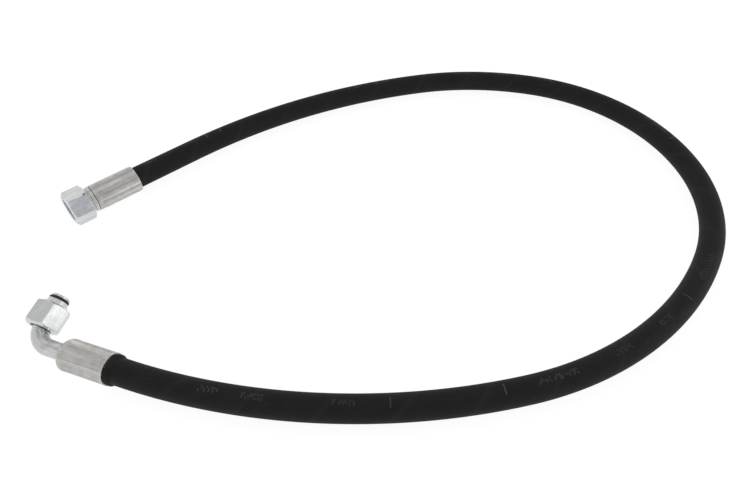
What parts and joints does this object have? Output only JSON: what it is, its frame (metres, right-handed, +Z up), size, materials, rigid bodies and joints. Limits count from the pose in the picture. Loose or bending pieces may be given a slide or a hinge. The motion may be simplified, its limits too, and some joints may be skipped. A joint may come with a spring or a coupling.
{
  "type": "hydraulic hose assembly",
  "caption": "Wire-braid hydraulic hose in a wide loop, with a straight swivel-nut fitting at one end and a right-angle elbow with a sliding union nut at the other.",
  "frame": {"origin": "centre of the end face of end A's cone nose", "axes": "+X runs from the nose along end A's axis into the hose, the loop lies in the XY plane and turns towards -Y, and +Z is up"},
  "size_m": [0.6411, 0.5013, 0.0366],
  "materials": {
    "cover_rubber": "matt black, wrapped",
    "inner_rubber": "smooth black",
    "braid_wire": "brass-coated steel wire",
    "ferrule_zinc": "zinc plated, satin, warm grey",
    "insert_zinc": "zinc plated, satin",
    "tube_zinc": "zinc plated, bluish, semi-bright",
    "nut_zinc": "zinc plated, bluish, semi-bright",
    "bright_wire": "drawn steel wire",
    "seal_rubber": "smooth black nitrile"
  },
  "bodies": {
    "end_a": {"tube_1": "inner_rubber", "braid_in_1": "braid_wire", "interlayer_1": "inner_rubber", "braid_out_1": "braid_wire", "cover_1": "cover_rubber", "ferrule_a": "ferrule_zinc", "insert_a": "insert_zinc", "thrust_wire_a": "bright_wire", "o_ring_a": "seal_rubber"},
    "hose_2": {"tube_2": "inner_rubber", "braid_in_2": "braid_wire", "interlayer_2": "inner_rubber", "braid_out_2": "braid_wire", "cover_2": "cover_rubber"},
    "hose_3": {"tube_3": "inner_rubber", "braid_in_3": "braid_wire", "interlayer_3": "inner_rubber", "braid_out_3": "braid_wire", "cover_3": "cover_rubber"},
    "hose_4": {"tube_4": "inner_rubber", "braid_in_4": "braid_wire", "interlayer_4": "inner_rubber", "braid_out_4": "braid_wire", "cover_4": "cover_rubber"},
    "hose_5": {"tube_5": "inner_rubber", "braid_in_5": "braid_wire", "interlayer_5": "inner_rubber", "braid_out_5": "braid_wire", "cover_5": "cover_rubber"},
    "end_b": {"tube_6": "inner_rubber", "braid_in_6": "braid_wire", "interlayer_6": "inner_rubber", "braid_out_6": "braid_wire", "cover_6": "cover_rubber", "ferrule_b": "ferrule_zinc", "insert_b": "insert_zinc", "elbow_tube_b": "tube_zinc", "cone_head_b": "insert_zinc", "o_ring_b": "seal_rubber"},
    "nut_a": {"nut_a": "nut_zinc"},
    "nut_b": {"nut_b": "nut_zinc"}
  },
  "joints": [
    {"name": "flex_1", "type": "hinge", "parent": "end_a", "child": "hose_2", "pos_m": [0.41411, -0.07541, 0], "axis": [0, 0, 1], "range_deg": [-2, 30], "stiffness_Nm_per_rad": 9.5},
    {"name": "flex_2", "type": "hinge", "parent": "hose_2", "child": "hose_3", "pos_m": [0.51269, -0.17486, 0], "axis": [0, 0, 1], "range_deg": [-2, 40], "stiffness_Nm_per_rad": 13},
    {"name": "flex_3", "type": "hinge", "parent": "hose_3", "child": "hose_4", "pos_m": [0.52525, -0.34383, 0], "axis": [0, 0, 1], "range_deg": [0, 50], "stiffness_Nm_per_rad": 12.5},
    {"name": "flex_4", "type": "hinge", "parent": "hose_4", "child": "hose_5", "pos_m": [0.40083, -0.45884, 0], "axis": [0, 0, 1], "range_deg": [-2, 45], "stiffness_Nm_per_rad": 10},
    {"name": "flex_5", "type": "hinge", "parent": "hose_5", "child": "end_b", "pos_m": [0.17156, -0.43474, 0], "axis": [0, 0, 1], "range_deg": [-3, 35], "stiffness_Nm_per_rad": 7.5},
    {"name": "nut_a_spin", "type": "hinge", "parent": "end_a", "child": "nut_a", "pos_m": [0, 0, 0], "axis": [1, 0, 0], "continuous": true},
    {"name": "nut_b_slide", "type": "slide", "parent": "end_b", "child": "nut_b", "axis": [0.8612, 0.4637, 0.2079], "range_m": [0, 0.0119]}
  ]
}
